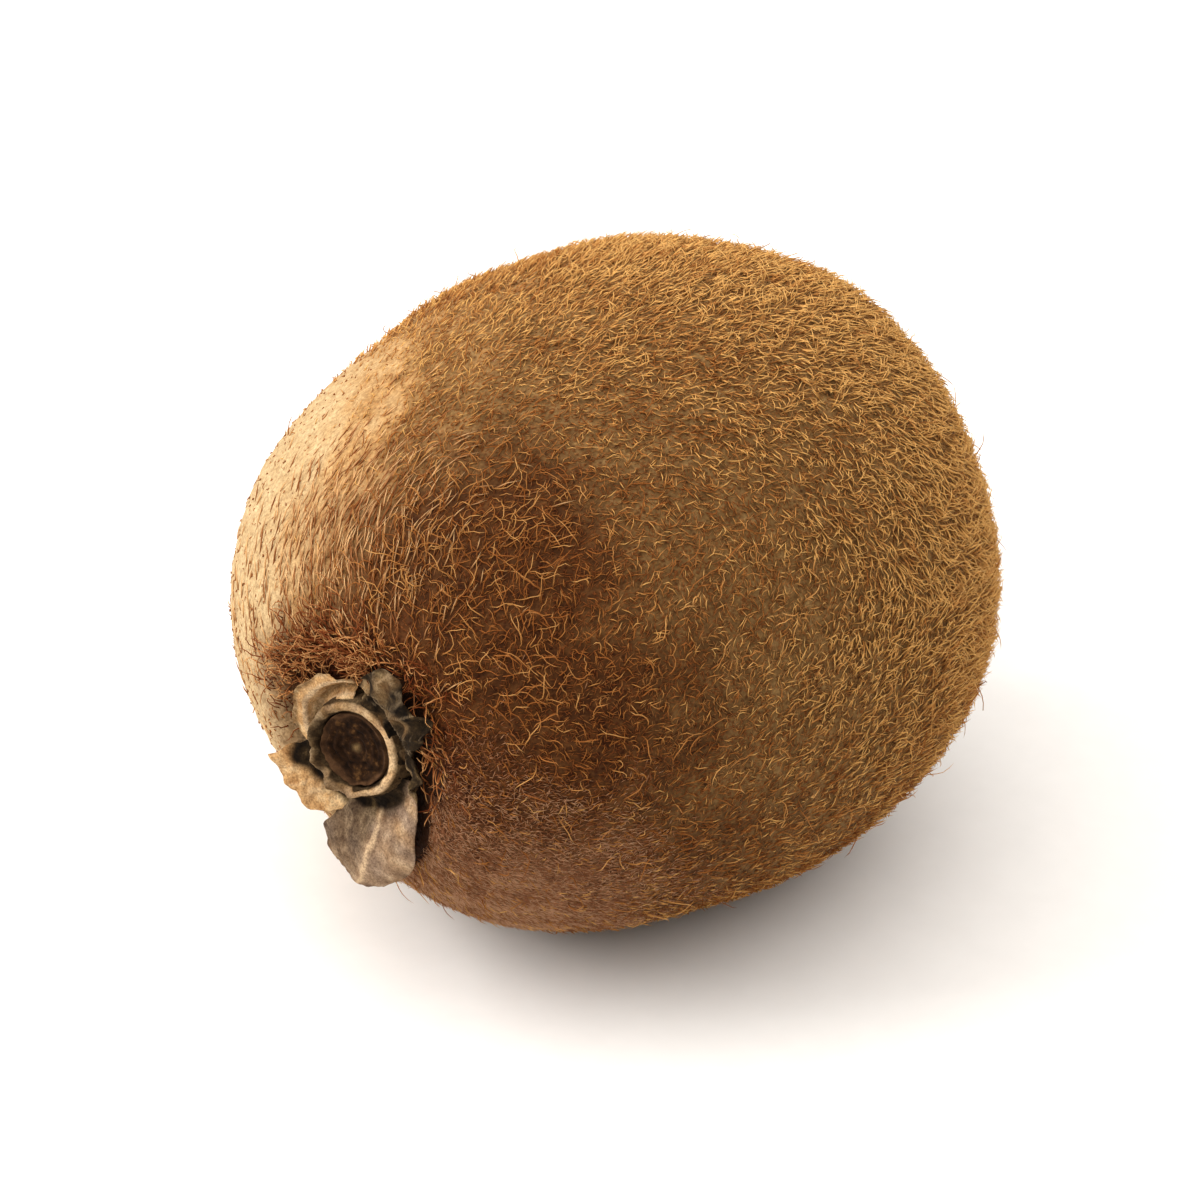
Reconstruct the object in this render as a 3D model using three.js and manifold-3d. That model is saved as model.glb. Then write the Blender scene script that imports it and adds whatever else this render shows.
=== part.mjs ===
// A whole kiwi fruit, lying on its side. Millimetres, +Z up.
// The stem end points along -Y and the blossom end along +Y, with the long axis level.
// The origin is on the surface that the fruit rests on, below the middle of the whole thing.
import * as THREE from "three";
import { mergeVertices } from "three/addons/utils/BufferGeometryUtils.js";
import Module from "manifold-3d";

const wasm = await Module();
wasm.setup();

// ---- Driving dimensions ----

// The fruit. "Reach" runs along the axis from the widest section. A fullness of 2 makes a half
// ellipse, and a larger one a blunter end.
const STEM_REACH = 31.0;
const BLOSSOM_REACH = 28.5;
const HALF_WIDTH = 27.9;
const HALF_HEIGHT = 24.8;
const STEM_FULLNESS = 2.33;
const BLOSSOM_FULLNESS = 2.12;
const TAPER = 0.057; // share by which the stem half is slimmer
const THREE_LOBES = -0.02; // the section is a little three-sided
const AXIS_HEIGHT = 24.4; // long axis above the surface; skin that would lie below it is flattened
const FRUIT_ROWS = 40;
const FRUIT_COLUMNS = 76;
const POLE_CROWDING = 0.62; // how much closer the rows lie near the two ends

// Each dent is flat to the floor radius and fades out at the rim radius. The stem's lies a little
// below the axis.
const STEM_DENT = { depth: 3.0, floor: 3.8, rim: 10.0, drop: 0.6 };
const BLOSSOM_DENT = { depth: 0.9, floor: 1.4, rim: 5.0, drop: 0 };

// Low swells and flats of the skin: degrees from the stem end, degrees round the axis from +X, height.
const SWELL_SPREAD = 11; // degrees
const SWELLS = [
  { along: 31, around: 232, height: -0.25 },
  { along: 47, around: 288, height: 0.3 },
  { along: 60, around: 160, height: 0.25 },
  { along: 73, around: 309, height: -0.45 },
  { along: 83, around: 143, height: -0.2 },
  { along: 90, around: 318, height: 0.1 },
  { along: 104, around: 128, height: -0.35 },
  { along: 116, around: 339, height: 0.2 },
  { along: 134, around: 77, height: 0.5 },
  { along: 138, around: 24, height: -0.35 },
];

// The calyx: a corky collar round the stalk scar, with five dried sepals.
const GAP = 0.35; // clear space between two pieces
const COLLAR = { inner: 3.2, crest: 3.5, outer: 4.2, height: 2.4, ovalness: 0.03, lumpiness: 0.01 };
const COLLAR_COLUMNS = 44;
const FACE_LEAN = 12; // degrees by which the collar's and the scar's faces look off the axis
const FACE_LEAN_TURN = 45; // the side that they look to, in degrees round the axis
const SEPAL_THICKNESS = 0.65;
const SEPAL_ROOT = 3.7; // radius at which the sepals leave the collar
const SEPAL_ROWS = 11;
const SEPAL_COLUMNS = 10;
const RUCK_WAVES = { along: 7, across: 2.4, slant: 3.1 }; // radians from root to tip, middle to edge
// turn and spread: degrees round the axis, to the middle and to either edge; sway: degrees that the
// tip drifts; reach: radius of the tip; tip: its width as a share of the root's; shoulder: how late
// the width falls off; lift: height of the tip off the skin; ridge: fold along the middle; ruck: waves.
const SEPALS = [
  { turn: 160, spread: 60, sway: -12, reach: 7.1, tip: 0.6, shoulder: 3, lift: 0.5, ridge: 0.2, ruck: 0.35 },
  { turn: 52, spread: 36, sway: 0, reach: 9.4, tip: 0.4, shoulder: 3, lift: 0.2, ridge: 0.2, ruck: 0.6 },
  { turn: 3, spread: 16, sway: -3, reach: 8.2, tip: 0.5, shoulder: 2, lift: 0.6, ridge: 0.3, ruck: 0.5 },
  { turn: -62, spread: 46, sway: -26, reach: 10.6, tip: 0.34, shoulder: 3, lift: 0.9, ridge: 0.8, ruck: 0.2 },
  { turn: -126, spread: 26, sway: -10, reach: 9.1, tip: 0.6, shoulder: 3, lift: 0.6, ridge: 0.3, ruck: 0.3 },
];

// The scar that the stalk left, a corky plug inside the collar with low rings on its face.
const SCAR = { radius: 2.8, thickness: 1.95, ringHeight: 0.16, rings: 3 };

// The dried styles at the blossom end: a button with a brush of short stubs.
const BUTTON = { radius: 1.25, height: 0.8 };
const STYLES = { count: 15, length: 2.5, rootRadius: 0.34, tipRadius: 0.22, splay: 58, seed: 7 };

// ---- Helpers ----

const radians = THREE.MathUtils.degToRad;

// A repeatable stream of random numbers from 0 to 1.
function randomStream(seed) {
  let state = seed;
  return () => {
    state = (state * 1664525 + 1013904223) % 4294967296;
    return state / 4294967296;
  };
}

function geometryFrom(points, triangles) {
  const geometry = new THREE.BufferGeometry().setFromPoints(points);
  geometry.setIndex(triangles.flat());
  return geometry;
}

function toSolid(geometry) {
  const bare = geometry.clone();
  bare.deleteAttribute("normal");
  bare.deleteAttribute("uv");
  const merged = mergeVertices(bare, 1e-4);
  return new wasm.Manifold(
    new wasm.Mesh({
      numProp: 3,
      vertProperties: new Float32Array(merged.attributes.position.array),
      triVerts: new Uint32Array(merged.index.array),
    }),
  );
}

function toGeometry(solid) {
  const mesh = solid.getMesh();
  const geometry = new THREE.BufferGeometry();
  geometry.setAttribute("position", new THREE.BufferAttribute(mesh.vertProperties, 3));
  geometry.setIndex(new THREE.BufferAttribute(mesh.triVerts, 1));
  geometry.computeVertexNormals();
  return geometry;
}

function fused(geometries) {
  return toGeometry(geometries.map(toSolid).reduce((whole, piece) => whole.add(piece)));
}

// Two triangles of the grid cell whose corners are a, b, c, d in turn.
const cell = (a, b, c, d) => [
  [a, b, c],
  [a, c, d],
];

// A closed skin over rings of points, from a first single point to a last one.
function ringedSkin(first, rings, last) {
  const columns = rings[0].length;
  const at = (row, column) => 1 + row * columns + (column % columns);
  const end = 1 + rings.length * columns;
  const triangles = [];
  for (let column = 0; column < columns; column++) {
    triangles.push([0, at(0, column), at(0, column + 1)]);
    triangles.push([end, at(rings.length - 1, column + 1), at(rings.length - 1, column)]);
    for (let row = 0; row + 1 < rings.length; row++) {
      triangles.push(
        ...cell(at(row, column), at(row + 1, column), at(row + 1, column + 1), at(row, column + 1)),
      );
    }
  }
  return geometryFrom([first, ...rings.flat(), last], triangles);
}

// A thin slab over a grid, with both faces split alike. pointAt(i, j, face) gives its points,
// where face 0 is the underside and face 1 the top.
function slab(rows, columns, pointAt) {
  const points = [];
  for (const face of [0, 1]) {
    for (let i = 0; i <= rows; i++) {
      for (let j = 0; j <= columns; j++) points.push(pointAt(i / rows, j / columns, face));
    }
  }
  const at = (i, j, face) => (face * (rows + 1) + i) * (columns + 1) + j;
  const triangles = [];
  for (let i = 0; i < rows; i++) {
    for (let j = 0; j < columns; j++) {
      triangles.push(...cell(at(i, j, 1), at(i + 1, j, 1), at(i + 1, j + 1, 1), at(i, j + 1, 1)));
      const under = cell(at(i, j, 0), at(i + 1, j, 0), at(i + 1, j + 1, 0), at(i, j + 1, 0));
      triangles.push(...under.map(([a, b, c]) => [a, c, b]));
    }
    triangles.push(...cell(at(i, 0, 0), at(i + 1, 0, 0), at(i + 1, 0, 1), at(i, 0, 1)));
    triangles.push(
      ...cell(at(i + 1, columns, 0), at(i, columns, 0), at(i, columns, 1), at(i + 1, columns, 1)),
    );
  }
  for (let j = 0; j < columns; j++) {
    triangles.push(...cell(at(0, j + 1, 0), at(0, j, 0), at(0, j, 1), at(0, j + 1, 1)));
    triangles.push(
      ...cell(at(rows, j, 0), at(rows, j + 1, 0), at(rows, j + 1, 1), at(rows, j, 1)),
    );
  }
  return geometryFrom(points, triangles);
}

// ---- The form of the skin ----

// The plain body about its axis, before swells and dents. along runs from 0 at the stem end to pi at
// the blossom end, and around is the angle about the axis from +X.
function bodyPoint(along, around) {
  const cosine = Math.cos(along);
  const inStemHalf = cosine > 0;
  const power = 2 / (inStemHalf ? STEM_FULLNESS : BLOSSOM_FULLNESS);
  const reach = inStemHalf ? STEM_REACH : -BLOSSOM_REACH;
  const forward = reach * Math.pow(Math.abs(cosine), power);
  const taper = 1 - (TAPER * forward * 2) / (STEM_REACH + BLOSSOM_REACH);
  const section = 1 + THREE_LOBES * Math.cos(3 * around);
  const girth = Math.pow(Math.sin(along), power) * taper * section;
  return new THREE.Vector3(
    HALF_WIDTH * girth * Math.cos(around),
    -forward,
    HALF_HEIGHT * girth * Math.sin(around),
  );
}

const swellSites = SWELLS.map(({ along, around, height }) => ({
  towards: bodyPoint(radians(along), radians(around)),
  height,
}));

function swellAt(point) {
  const spread = radians(SWELL_SPREAD);
  return swellSites.reduce(
    (sum, { towards, height }) => sum + height * Math.exp(-((point.angleTo(towards) / spread) ** 2)),
    0,
  );
}

function dentAt({ depth, floor, rim, drop }, point) {
  const radius = Math.hypot(point.x, point.z + drop);
  return depth * (1 - THREE.MathUtils.smoothstep(radius, floor, rim));
}

function skinPoint(along, around) {
  const point = bodyPoint(along, around);
  point.multiplyScalar(1 + swellAt(point) / point.length());
  if (point.y < 0) point.y += dentAt(STEM_DENT, point);
  else point.y -= dentAt(BLOSSOM_DENT, point);
  point.z += AXIS_HEIGHT;
  return point;
}

// The point of the skin at a radius and an angle about the middle of the stem's dent, and its normal.
function stemEndAt(radius, turn) {
  const x = (radius * Math.cos(turn)) / HALF_WIDTH;
  const z = (radius * Math.sin(turn) - STEM_DENT.drop) / HALF_HEIGHT;
  const around = Math.atan2(z, x);
  const along = Math.asin(Math.pow(Math.hypot(x, z) / (1 - TAPER), STEM_FULLNESS / 2));
  const step = 0.02;
  const outward = skinPoint(along + step, around).sub(skinPoint(along, around));
  const sideways = skinPoint(along + step, around + step).sub(skinPoint(along + step, around));
  return { point: skinPoint(along, around), normal: outward.cross(sideways).normalize() };
}

// ---- The pieces ----

function fruitSkin() {
  const rowAngle = (row) => {
    const share = row / FRUIT_ROWS;
    return Math.PI * share - (POLE_CROWDING / 2) * Math.sin(2 * Math.PI * share);
  };
  const ring = (row) =>
    Array.from({ length: FRUIT_COLUMNS }, (_, column) =>
      skinPoint(rowAngle(row), (2 * Math.PI * column) / FRUIT_COLUMNS),
    );
  const rings = Array.from({ length: FRUIT_ROWS - 1 }, (_, row) => ring(row + 1));
  return ringedSkin(skinPoint(0, 0), rings, skinPoint(Math.PI, 0));
}

// The fruit, with the part of it below the surface cut away to a flat spot.
function fruit() {
  const below = new THREE.BoxGeometry(4 * HALF_WIDTH, 4 * STEM_REACH, HALF_HEIGHT);
  below.translate(0, 0, -HALF_HEIGHT / 2);
  return toGeometry(toSolid(fruitSkin()).subtract(toSolid(below)));
}

const seatY = -(STEM_REACH - STEM_DENT.depth);

// The collar is a little out of round, as dried cork is.
function collar() {
  const foot = GAP;
  const top = foot + COLLAR.height;
  const profile = [
    new THREE.Vector2(COLLAR.inner, foot),
    new THREE.Vector2(COLLAR.outer, foot),
    new THREE.Vector2(COLLAR.outer - 0.1, foot + 0.5 * COLLAR.height),
    new THREE.Vector2(COLLAR.crest + 0.2, top - 0.15),
    new THREE.Vector2(COLLAR.crest, top),
    new THREE.Vector2(COLLAR.inner + 0.12, top - 0.2),
    new THREE.Vector2(COLLAR.inner, foot),
  ];
  const geometry = new THREE.LatheGeometry(profile, COLLAR_COLUMNS);
  const position = geometry.attributes.position;
  for (let i = 0; i < position.count; i++) {
    const turn = Math.atan2(position.getZ(i), position.getX(i));
    const oval = COLLAR.ovalness * (1 + Math.sin(2 * turn + 0.8));
    const lumps = COLLAR.lumpiness * (1 + Math.sin(5 * turn));
    position.setX(i, position.getX(i) * (1 + oval + lumps));
    position.setZ(i, position.getZ(i) * (1 + oval + lumps));
  }
  return onStemSeat(geometry);
}

// Turns a piece built along +Y from the seat round to the stem end, which points along -Y. Its foot
// stays level and its face leans.
function onStemSeat(geometry) {
  geometry.rotateX(Math.PI);
  const position = geometry.attributes.position;
  const slope = Math.tan(radians(FACE_LEAN));
  const towards = radians(FACE_LEAN_TURN);
  for (let i = 0; i < position.count; i++) {
    const height = -position.getY(i) - GAP;
    const offset = position.getX(i) * Math.cos(towards) + position.getZ(i) * Math.sin(towards);
    position.setY(i, position.getY(i) + slope * offset * (height / COLLAR.height));
  }
  geometry.translate(0, seatY, AXIS_HEIGHT - STEM_DENT.drop);
  return geometry;
}

// A dried sepal that lies over the skin. Its turn also sets where its waves start.
function sepal({ turn, spread, sway, reach, tip, shoulder, lift, ridge, ruck }) {
  return slab(SEPAL_ROWS, SEPAL_COLUMNS, (along, across, face) => {
    const side = 2 * across - 1;
    const width = 1 - (1 - tip) * along ** shoulder;
    const angle = radians(turn + sway * along ** 2 + side * spread * width);
    const { point, normal } = stemEndAt(THREE.MathUtils.lerp(SEPAL_ROOT, reach, along), angle);
    const fold = ridge * Math.sqrt(along) * (1 - Math.abs(side));
    const waves =
      1 +
      Math.sin(RUCK_WAVES.along * along + RUCK_WAVES.across * side + turn) *
        Math.cos(RUCK_WAVES.slant * side - turn);
    const height = GAP + lift * along ** 1.6 + fold + (ruck / 2) * waves * along;
    return point.addScaledVector(normal, height + face * SEPAL_THICKNESS);
  });
}

// The collar with the roots of the sepals sunk in it.
function calyx() {
  return fused([collar(), ...SEPALS.map(sepal)]);
}

// A disc with rings on its face and a low knob in the middle.
function stalkScar() {
  const { radius, thickness, ringHeight, rings } = SCAR;
  const foot = GAP;
  const face = foot + thickness;
  const profile = [new THREE.Vector2(0, foot), new THREE.Vector2(radius, foot)];
  profile.push(new THREE.Vector2(radius, face - ringHeight));
  for (let ring = 0; ring < rings; ring++) {
    const crest = radius * (1 - (ring + 0.3) / rings);
    const trough = radius * (1 - (ring + 0.75) / rings);
    profile.push(new THREE.Vector2(crest, face));
    profile.push(new THREE.Vector2(trough, face - ringHeight * 1.5));
  }
  profile.push(new THREE.Vector2(0, face + ringHeight));
  return onStemSeat(new THREE.LatheGeometry(profile, 32));
}

// A short stub that tapers and bends outwards as it rises, closed at both ends.
function styleStub(root, lean, turn, length) {
  const steps = 3;
  const sides = 5;
  const outward = new THREE.Vector3(Math.cos(turn), 0, Math.sin(turn));
  const axis = new THREE.Vector3(0, 1, 0);
  const sideways = new THREE.Vector3().crossVectors(axis, outward);
  const ends = [];
  const rings = [];
  const centre = root.clone();
  for (let step = 0; step <= steps; step++) {
    const angle = lean * (0.3 + (0.7 * step) / steps);
    const heading = axis.clone().multiplyScalar(Math.cos(angle)).addScaledVector(outward, Math.sin(angle));
    if (step > 0) centre.addScaledVector(heading, length / steps);
    const across = new THREE.Vector3().crossVectors(sideways, heading);
    const radius = THREE.MathUtils.lerp(STYLES.rootRadius, STYLES.tipRadius, step / steps);
    ends.push(centre.clone());
    rings.push(
      Array.from({ length: sides }, (_, side) => {
        const angleRound = (2 * Math.PI * side) / sides;
        return centre
          .clone()
          .addScaledVector(sideways, radius * Math.cos(angleRound))
          .addScaledVector(across, radius * Math.sin(angleRound));
      }),
    );
  }
  return ringedSkin(ends[0], rings, ends[steps]);
}

// A button with stubs that splay out more towards its edge.
function styleBrush() {
  const random = randomStream(STYLES.seed);
  const foot = BLOSSOM_REACH - BLOSSOM_DENT.depth + GAP;
  const button = new THREE.LatheGeometry(
    [
      new THREE.Vector2(0, 0),
      new THREE.Vector2(BUTTON.radius, 0),
      new THREE.Vector2(BUTTON.radius * 0.9, BUTTON.height * 0.7),
      new THREE.Vector2(BUTTON.radius * 0.5, BUTTON.height),
      new THREE.Vector2(0, BUTTON.height * 0.8),
    ],
    20,
  );
  const stubs = Array.from({ length: STYLES.count }, (_, index) => {
    const turn = (index * 2 * Math.PI * 8) / 21 + 0.3 * random();
    const share = Math.sqrt((index + 0.5) / STYLES.count);
    const root = new THREE.Vector3(Math.cos(turn), 0, Math.sin(turn)).multiplyScalar(0.75 * share);
    root.y = 0.35 * BUTTON.height;
    const lean = radians(STYLES.splay) * share * (0.8 + 0.4 * random());
    return styleStub(root, lean, turn, STYLES.length * (0.75 + 0.35 * random()));
  });
  const geometry = fused([button, ...stubs]);
  geometry.translate(0, foot, AXIS_HEIGHT);
  return geometry;
}

// ---- The assembly ----

function piece(name, geometry, color, roughness) {
  const material = new THREE.MeshStandardMaterial({ color, roughness, metalness: 0 });
  const mesh = new THREE.Mesh(geometry, material);
  mesh.name = name;
  return mesh;
}

const kiwi = new THREE.Group();
kiwi.add(piece("fruit", fruit(), 0x8a6234, 0.85));
kiwi.add(piece("calyx", calyx(), 0x9a7a54, 0.9));
kiwi.add(piece("stalk_scar", stalkScar(), 0x4a321f, 0.9));
kiwi.add(piece("style_brush", styleBrush(), 0x3d2a1c, 0.9));

// The box of all the pieces is centred over the origin.
const box = new THREE.Box3().setFromObject(kiwi);
kiwi.position.set(-(box.min.x + box.max.x) / 2, -(box.min.y + box.max.y) / 2, 0);

export default kiwi;
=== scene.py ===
"""A whole kiwi fruit lying on a pale floor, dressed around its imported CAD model.

The stem end points along -Y, the blossom end along +Y and +Z is up. Sizes are millimetres, and are
turned into metres when a mesh is made.
"""

import math

import bpy
import numpy as np
from mathutils import Matrix, Vector


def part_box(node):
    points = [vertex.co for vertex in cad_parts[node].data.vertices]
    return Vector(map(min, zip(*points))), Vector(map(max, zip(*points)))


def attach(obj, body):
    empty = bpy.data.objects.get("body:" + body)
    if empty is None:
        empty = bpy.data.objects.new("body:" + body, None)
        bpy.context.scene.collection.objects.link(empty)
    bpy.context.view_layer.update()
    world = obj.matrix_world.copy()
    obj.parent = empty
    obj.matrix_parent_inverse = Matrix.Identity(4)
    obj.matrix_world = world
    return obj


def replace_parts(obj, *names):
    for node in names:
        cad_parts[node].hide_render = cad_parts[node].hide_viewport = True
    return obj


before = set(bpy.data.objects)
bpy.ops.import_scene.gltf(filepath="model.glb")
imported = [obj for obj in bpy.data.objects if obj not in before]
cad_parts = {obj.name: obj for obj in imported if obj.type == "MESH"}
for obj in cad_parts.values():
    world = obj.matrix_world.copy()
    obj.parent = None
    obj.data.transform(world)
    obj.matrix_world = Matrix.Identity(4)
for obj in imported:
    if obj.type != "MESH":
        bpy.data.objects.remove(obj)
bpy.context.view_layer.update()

MM = 0.001

# ---- The form of the fruit, as in its CAD source ----

STEM_REACH = 31.0
BLOSSOM_REACH = 28.5
HALF_WIDTH = 27.9
HALF_HEIGHT = 24.8
STEM_FULLNESS = 2.33
BLOSSOM_FULLNESS = 2.12
TAPER = 0.057
THREE_LOBES = -0.02
AXIS_HEIGHT = 24.4
STEM_DENT = {"depth": 3.0, "floor": 3.8, "rim": 10.0, "drop": 0.6}
BLOSSOM_DENT = {"depth": 0.9, "floor": 1.4, "rim": 5.0, "drop": 0.0}
CAD_ROWS = 40
CAD_COLUMNS = 76
CAD_POLE_CROWDING = 0.62

# Low swells and flats: degrees from the stem end, degrees round the axis from +X, height.
SWELL_SPREAD = 11
SWELLS = [
    (31, 232, -0.25), (47, 288, 0.3), (60, 160, 0.25), (73, 309, -0.45),
    (83, 143, -0.2), (90, 318, 0.1), (104, 128, -0.35), (116, 339, 0.2),
    (134, 77, 0.5), (138, 24, -0.35),
]

# The calyx: a corky collar round the stalk scar, and dried sepals, in millimetres and degrees.
GAP = 0.35
COLLAR = {"inner": 3.2, "crest": 3.5, "outer": 4.2, "height": 2.4, "ovalness": 0.03}
FACE_LEAN = 12
FACE_LEAN_TURN = 45
CAD_SEPAL_THICKNESS = 0.65
SEPAL_ROOT = 3.7
RUCK_WAVES = {"along": 7, "across": 2.4, "slant": 3.1}
# turn to ruck are as in the CAD source, with the last sepal a little turned and widened; ridge also sets
# how strong the painted highlight on the fold is. grey is how weathered a sepal is, dark how black it has
# gone, foot_shade how far out its foot is darkened as painted shade (-1 where it isn't), facet_shade how
# much painted shade darkens the left of its fold, ragged how torn its end is, crumple how deep its creases
# are and pleats how high the folds are that circle the collar.
PLAIN_SEPAL = dict(grey=0, dark=0, foot_shade=-1, facet_shade=0, pleats=0)
SEPALS = [
    dict(PLAIN_SEPAL, turn=160, spread=60, sway=-12, reach=7.1, tip=0.6, shoulder=3, lift=0.5, ridge=0.2,
         ruck=0.35, ragged=0.01, crumple=0.08, pleats=0.26),
    dict(PLAIN_SEPAL, turn=52, spread=36, sway=0, reach=9.4, tip=0.4, shoulder=3, lift=0.2, ridge=0.2,
         ruck=0.6, dark=1, ragged=0.04, crumple=0.4),
    dict(PLAIN_SEPAL, turn=3, spread=16, sway=-3, reach=8.2, tip=0.5, shoulder=2, lift=0.6, ridge=0.3,
         ruck=0.5, dark=0.85, foot_shade=0.3, ragged=0.03, crumple=0.35),
    dict(PLAIN_SEPAL, turn=-62, spread=46, sway=-26, reach=10.6, tip=0.34, shoulder=3, lift=0.9, ridge=0.8,
         ruck=0.2, grey=0.85, foot_shade=0.42, facet_shade=0.8, ragged=0.01, crumple=0.05),
    dict(PLAIN_SEPAL, turn=-128, spread=31, sway=-10, reach=9.1, tip=0.6, shoulder=3, lift=0.6, ridge=0.3,
         ruck=0.3, foot_shade=0.73, ragged=0.015, crumple=0.06),
]
SEPAL_CLIMB = 0.9  # how far the sepals' feet run up the side of the collar
BEARD_TURN = 95  # the side of the calyx with the long red-brown hairs
SEPAL_SHADE_WIDTH = 0.35  # how far the painted shade round the sepals runs out from under them
RIM_LIT_TURN = 10  # the side on which the collar's rim is painted light, with painted shade on the far side
# How the hairs have been swept: degrees from the stem end, degrees round the axis, and the degrees
# by which they lie off the way to the blossom end.
SWEEP_SPREAD = 15
SWEEPS = [
    (32, 205, -110), (35, 154, -50), (43, 118, -15), (58, 108, -25), (30, 90, 18),
    (62, 92, -60), (60, 70, -75), (75, 108, -35), (84, 85, -76), (110, 80, -28),
    (102, 63, -78), (76, 58, -100), (95, 42, -90), (41, 62, 35), (55, 44, 20),
    (66, 27, 96), (77, 20, 116), (86, 356, 98), (28, 20, 14), (45, 355, 35),
    (60, 338, 104), (30, 318, 42), (128, 355, -12), (110, 180, -15), (100, 260, 10),
]
SCAR = {"radius": 2.8, "thickness": 1.95}
BUTTON_STOPS = [(1.25, 0.0), (1.12, 0.5), (0.62, 0.8), (0.12, 0.7)]  # radius and height
SCAR_FILLS = 0.12  # how much wider the plug is than the CAD one, to close the gap round it
SCAR_RINGS = 5
STYLES = {"count": 34, "length": 2.5, "splay": 58}

# ---- How fine the pieces are ----

SEPAL_ROWS = 46
SEPAL_COLUMNS = 42
SEPAL_THICKNESS = 0.3

SKIN_ROWS = 130
SKIN_COLUMNS = 260
SKIN_POLE_CROWDING = 0.5
POLE_MARGIN = 1e-4  # radians from a pole to the point that stands for it
SLOPE_STEP = 0.01  # radians, for slopes taken from the formula
FLOOR_CLEARANCE = 0.02  # no hair comes nearer to the floor than this


# ---- Numbers ----


def unit(vectors):
    return vectors / np.linalg.norm(vectors, axis=-1, keepdims=True)


def smooth_step(values, low, high):
    share = np.clip((values - low) / (high - low), 0, 1)
    return share * share * (3 - 2 * share)


def mix(low, high, share):
    return low + (high - low) * share


def ripple(points, wavelength, seed, waves=14):
    """A smooth random field with mean 0 and deviation 1, from waves that run in random directions."""
    random = np.random.default_rng(seed)
    directions = unit(random.normal(size=(waves, 3)))
    numbers = 2 * math.pi / wavelength * random.uniform(0.7, 1.4, waves)
    phases = random.uniform(0, 2 * math.pi, waves)
    return math.sqrt(2 / waves) * np.sin(points @ (directions.T * numbers) + phases).sum(-1)


# ---- The skin's formula ----


def body_points(along, around):
    """Points of the plain body about its axis, for angles in radians."""
    cosine = np.cos(along)
    in_stem_half = cosine > 0
    power = 2 / np.where(in_stem_half, STEM_FULLNESS, BLOSSOM_FULLNESS)
    reach = np.where(in_stem_half, STEM_REACH, -BLOSSOM_REACH)
    forward = reach * np.abs(cosine) ** power
    taper = 1 - TAPER * forward * 2 / (STEM_REACH + BLOSSOM_REACH)
    section = 1 + THREE_LOBES * np.cos(3 * around)
    girth = np.abs(np.sin(along)) ** power * taper * section
    across = HALF_WIDTH * girth * np.cos(around)
    height = HALF_HEIGHT * girth * np.sin(around)
    return np.stack([across, -forward, height], -1)


def nearness(points, along, around, spread):
    """1 at the place at these degrees, falling to 0 over about twice the spread in degrees."""
    towards = unit(body_points(np.radians(along), np.radians(around)))
    angle = np.arccos(np.clip(unit(points) @ towards, -1, 1))
    return np.exp(-((angle / math.radians(spread)) ** 2))


def dent_at(dent, points):
    radius = np.hypot(points[..., 0], points[..., 2] + dent["drop"])
    return dent["depth"] * (1 - smooth_step(radius, dent["floor"], dent["rim"]))


def swollen(along, around):
    """The skin about the axis of the body, with its swells and dents."""
    points = body_points(along, around)
    swell = sum(h * nearness(points, a, r, SWELL_SPREAD) for a, r, h in SWELLS)
    points = points * (1 + swell / np.linalg.norm(points, axis=-1))[..., None]
    stem_side = points[..., 1] < 0
    points[..., 1] += np.where(stem_side, dent_at(STEM_DENT, points), -dent_at(BLOSSOM_DENT, points))
    return points


def row_angles(rows, crowding):
    share = np.arange(rows + 1) / rows
    return math.pi * share - crowding / 2 * np.sin(2 * math.pi * share)


def grid_angles(rows, columns, crowding):
    around = 2 * math.pi * np.arange(columns) / columns
    return np.meshgrid(row_angles(rows, crowding)[1:-1], around, indexing="ij")


def frame_offset():
    """Where the body's middle lies in the frame: the CAD skin's box against the formula's."""
    low = swollen(*grid_angles(CAD_ROWS, CAD_COLUMNS, CAD_POLE_CROWDING)).reshape(-1, 3).min(0)
    corner = np.array(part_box("fruit")[0]) / MM
    return np.array([corner[0] - low[0], corner[1] - low[1], AXIS_HEIGHT])


MIDDLE = frame_offset()


def skin_points(along, around):
    """Points of the skin in the frame, before the flat spot is cut."""
    return swollen(along, around) + MIDDLE


def slopes(surface, along, around):
    """How points move on a surface as they go on to the blossom end, and as they go round."""
    onward = surface(along + SLOPE_STEP, around) - surface(along - SLOPE_STEP, around)
    sideways = surface(along, around + SLOPE_STEP) - surface(along, around - SLOPE_STEP)
    return onward, sideways


def skin_frames(along, around):
    """Points, outward normals and the directions towards the blossom end."""
    onward, sideways = slopes(skin_points, along, around)
    return skin_points(along, around), unit(np.cross(onward, sideways)), unit(onward)


def skin_relief(points):
    """The height of the skin's low bumps, for points about the middle of the body."""
    return 0.035 * ripple(points, 1.7, seed=21)


# ---- Where the skin differs ----

# bald is the pale stem shoulder with its hairs rubbed off, golden where they are dense, long and
# golden, wild the patch of long kinked hairs far apart, dark the dark brown skin from there to below
# the calyx, and rosy the pinkish brown underside. A place is degrees from the stem end, degrees round
# the axis, its reach in degrees and its strength. ripples make the edge ragged, with a height, a
# wavelength and a seed, and ends are what counts as wholly outside and wholly inside.
REGIONS = {
    "bald": dict(
        places=[(54, 172, 44, 1), (34, 200, 28, 0.9), (82, 132, 32, 0.32)],
        ripples=[(0.05, 7, 11), (0.04, 2.4, 12)], ends=(0.06, 0.82),
    ),
    "golden": dict(
        places=[(112, 85, 48, 1), (112, 195, 62, 1), (112, 15, 38, 1)],
        ripples=[(0.07, 9, 13)], ends=(0.05, 0.8),
    ),
    "wild": dict(places=[(44, 78, 19, 1), (34, 45, 14, 0.7)], ripples=[(0.05, 5, 14)], ends=(0.1, 0.8)),
    "dark": dict(
        places=[(38, 64, 25, 1), (34, 24, 28, 0.9), (58, 336, 22, 0.5)],
        ripples=[(0.05, 6, 17)], ends=(0.05, 0.75),
    ),
    "rosy": dict(places=[(36, 302, 29, 1)], ripples=[(0.06, 8, 15)], ends=(0.12, 0.85)),
}


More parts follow.
